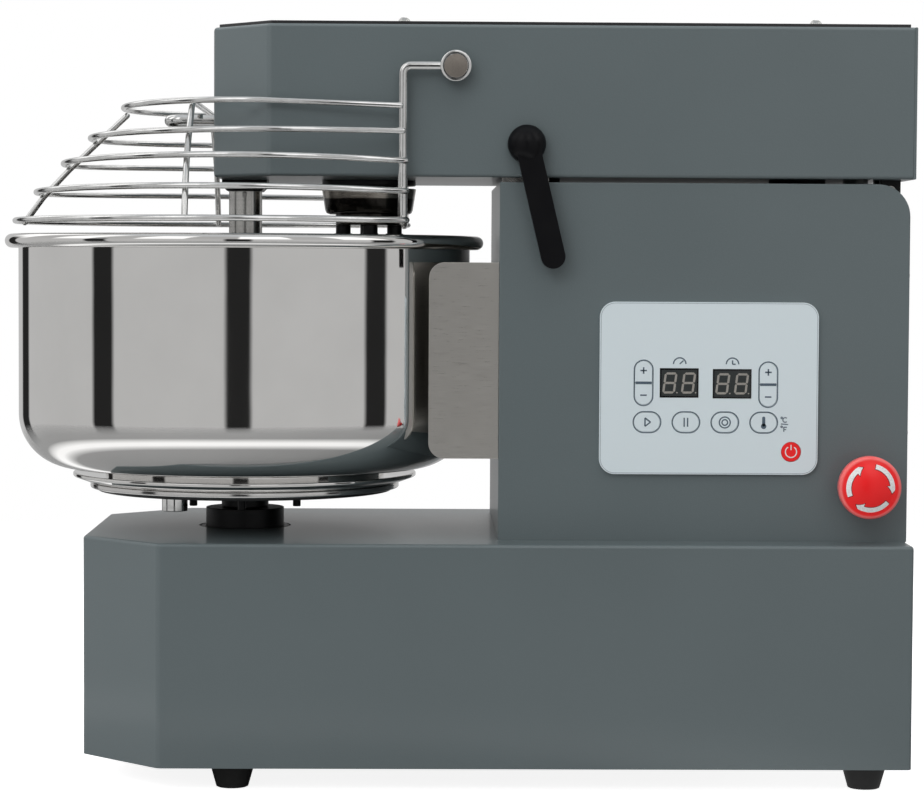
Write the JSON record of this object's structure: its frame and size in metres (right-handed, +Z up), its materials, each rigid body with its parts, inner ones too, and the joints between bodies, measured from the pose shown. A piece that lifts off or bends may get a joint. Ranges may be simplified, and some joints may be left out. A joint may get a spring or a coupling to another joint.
{
  "type": "table-top spiral dough mixer",
  "caption": "Table-top spiral dough mixer: steel bowl turns on the base, and a tilting head carries the driven spiral, breaker bar and wire guard; keypad and stop button on its side.",
  "frame": {"origin": "on the surface it stands on, midway between the front and the back of the machine and on its middle plane", "axes": "+X towards the rear, where the head is hinged; the operator's side with the controls is -Y; +Z up"},
  "size_m": [0.5963, 0.321, 0.4935],
  "materials": {
    "grey_paint": "semi-gloss powder coat",
    "black_paint": "satin black powder coat",
    "motor_paint": "satin",
    "bowl_steel": "polished stainless steel",
    "chrome_wire": "bright chrome",
    "stainless": "brushed stainless steel",
    "machined_steel": "turned",
    "bright_screws": "zinc plated",
    "cast_aluminium": "turned",
    "black_casting": "black anodised",
    "black_plastic": "satin",
    "white_panel": "gloss",
    "key_white": "gloss",
    "display_black": "smoked gloss",
    "circuit_board": "green solder mask",
    "red_plastic": "gloss",
    "rubber_black": "matte"
  },
  "bodies": {
    "base": {"base_shell": "grey_paint", "base_bottom_plate": "black_paint", "feet": "rubber_black", "column_shell": "grey_paint", "rear_cover": "black_paint", "rear_cover_screws": "bright_screws", "splash_shield": "stainless", "control_panel": "white_panel", "display_modules": "display_black", "controller_board": "circuit_board", "speed_drive": "cast_aluminium", "power_inlet": "black_plastic", "estop_body": "black_plastic", "hinge_brackets": "black_casting", "hinge_pins": "machined_steel", "latch_lug": "machined_steel", "head_rest_pads": "rubber_black", "bowl_bearing_housing": "black_casting", "bowl_bearings": "machined_steel", "bowl_motor": "motor_paint", "bowl_belt": "rubber_black"},
    "bowl_unit": {"bowl": "bowl_steel", "bowl_turntable": "black_paint", "bowl_drive_pins": "machined_steel", "bowl_shaft": "machined_steel", "bowl_pulley": "cast_aluminium"},
    "bowl_release": {"bowl_release_knob": "chrome_wire"},
    "bowl_motor_rotor": {"bowl_motor_pulley": "cast_aluminium"},
    "head": {"head_shell": "grey_paint", "head_lid": "black_paint", "head_lid_screws": "bright_screws", "head_rear_plate": "grey_paint", "front_handle": "chrome_wire", "head_hinge_leaves": "black_casting", "breaker_mount": "black_plastic", "breaker_bar": "stainless", "spiral_housing": "black_casting", "spiral_bearings": "machined_steel", "spiral_motor": "motor_paint", "spiral_belt": "rubber_black", "guard_pivot_pins": "machined_steel"},
    "spiral": {"spiral_hook": "stainless", "spiral_shaft": "machined_steel", "spiral_bolts": "bright_screws", "spiral_pulley": "cast_aluminium"},
    "spiral_motor_rotor": {"spiral_motor_pulley": "cast_aluminium"},
    "guard": {"wire_guard": "chrome_wire", "guard_ribs": "chrome_wire"},
    "head_lock": {"lock_lever": "black_plastic"},
    "estop_plunger": {"estop_stem": "machined_steel"},
    "estop_cap": {"estop_knob": "red_plastic"},
    "speed_up_button": {"speed_up_key": "key_white"},
    "speed_down_button": {"speed_down_key": "key_white"},
    "timer_up_button": {"timer_up_key": "key_white"},
    "timer_down_button": {"timer_down_key": "key_white"},
    "start_button": {"start_key": "key_white"},
    "pause_button": {"pause_key": "key_white"},
    "mode_button": {"mode_key": "key_white"},
    "heat_button": {"heat_key": "key_white"},
    "power_button": {"power_key": "red_plastic"}
  },
  "joints": [
    {"name": "bowl_spin", "type": "hinge", "parent": "base", "child": "bowl_unit", "pos_m": [-0.1372, 0, 0.185], "axis": [0, 0, 1], "continuous": true},
    {"name": "bowl_release_pull", "type": "slide", "parent": "bowl_unit", "child": "bowl_release", "axis": [0, 0, -1], "range_m": [0, 0.006], "stiffness_N_per_m": 400, "springref_m": -0.004},
    {"name": "bowl_motor_spin", "type": "hinge", "parent": "base", "child": "bowl_motor_rotor", "pos_m": [0.0904, 0, 0.06], "axis": [0, 0, 1], "continuous": true},
    {"name": "head_tilt", "type": "hinge", "parent": "base", "child": "head", "pos_m": [0.2854, 0, 0.3845], "axis": [0, 1, 0], "range_deg": [0, 60]},
    {"name": "spiral_spin", "type": "hinge", "parent": "head", "child": "spiral", "pos_m": [-0.054, 0, 0.375], "axis": [0, 0, 1], "continuous": true},
    {"name": "spiral_motor_spin", "type": "hinge", "parent": "head", "child": "spiral_motor_rotor", "pos_m": [0.1304, 0, 0.459], "axis": [0, 0, 1], "continuous": true},
    {"name": "guard_lift", "type": "hinge", "parent": "head", "child": "guard", "pos_m": [0.0028, 0, 0.4615], "axis": [0, 1, 0], "range_deg": [0, 75]},
    {"name": "lock_turn", "type": "hinge", "parent": "head", "child": "head_lock", "pos_m": [0.0482, -0.1, 0.4125], "axis": [0, -1, 0], "range_deg": [0, 90]},
    {"name": "estop_press", "type": "slide", "parent": "base", "child": "estop_plunger", "axis": [0, 1, 0], "range_m": [0, 0.005]},
    {"name": "estop_twist", "type": "hinge", "parent": "estop_plunger", "child": "estop_cap", "pos_m": [0.2669, -0.12, 0.1954], "axis": [0, 1, 0], "range_deg": [0, 45], "stiffness_Nm_per_rad": 0.1, "springref_deg": -11.46},
    {"name": "speed_up_press", "type": "slide", "parent": "base", "child": "speed_up_button", "axis": [0, 1, 0], "range_m": [0, 0.0006], "stiffness_N_per_m": 1500, "springref_m": -0.0005},
    {"name": "speed_down_press", "type": "slide", "parent": "base", "child": "speed_down_button", "axis": [0, 1, 0], "range_m": [0, 0.0006], "stiffness_N_per_m": 1500, "springref_m": -0.0005},
    {"name": "timer_up_press", "type": "slide", "parent": "base", "child": "timer_up_button", "axis": [0, 1, 0], "range_m": [0, 0.0006], "stiffness_N_per_m": 1500, "springref_m": -0.0005},
    {"name": "timer_down_press", "type": "slide", "parent": "base", "child": "timer_down_button", "axis": [0, 1, 0], "range_m": [0, 0.0006], "stiffness_N_per_m": 1500, "springref_m": -0.0005},
    {"name": "start_press", "type": "slide", "parent": "base", "child": "start_button", "axis": [0, 1, 0], "range_m": [0, 0.0006], "stiffness_N_per_m": 1500, "springref_m": -0.0005},
    {"name": "pause_press", "type": "slide", "parent": "base", "child": "pause_button", "axis": [0, 1, 0], "range_m": [0, 0.0006], "stiffness_N_per_m": 1500, "springref_m": -0.0005},
    {"name": "mode_press", "type": "slide", "parent": "base", "child": "mode_button", "axis": [0, 1, 0], "range_m": [0, 0.0006], "stiffness_N_per_m": 1500, "springref_m": -0.0005},
    {"name": "heat_press", "type": "slide", "parent": "base", "child": "heat_button", "axis": [0, 1, 0], "range_m": [0, 0.0006], "stiffness_N_per_m": 1500, "springref_m": -0.0005},
    {"name": "power_press", "type": "slide", "parent": "base", "child": "power_button", "axis": [0, 1, 0], "range_m": [0, 0.0006], "stiffness_N_per_m": 1500, "springref_m": -0.0005}
  ],
  "couplings": [
    {"joint": "bowl_motor_spin", "follows": "bowl_spin", "ratio": 4.1667},
    {"joint": "spiral_motor_spin", "follows": "spiral_spin", "ratio": 3.7778}
  ]
}
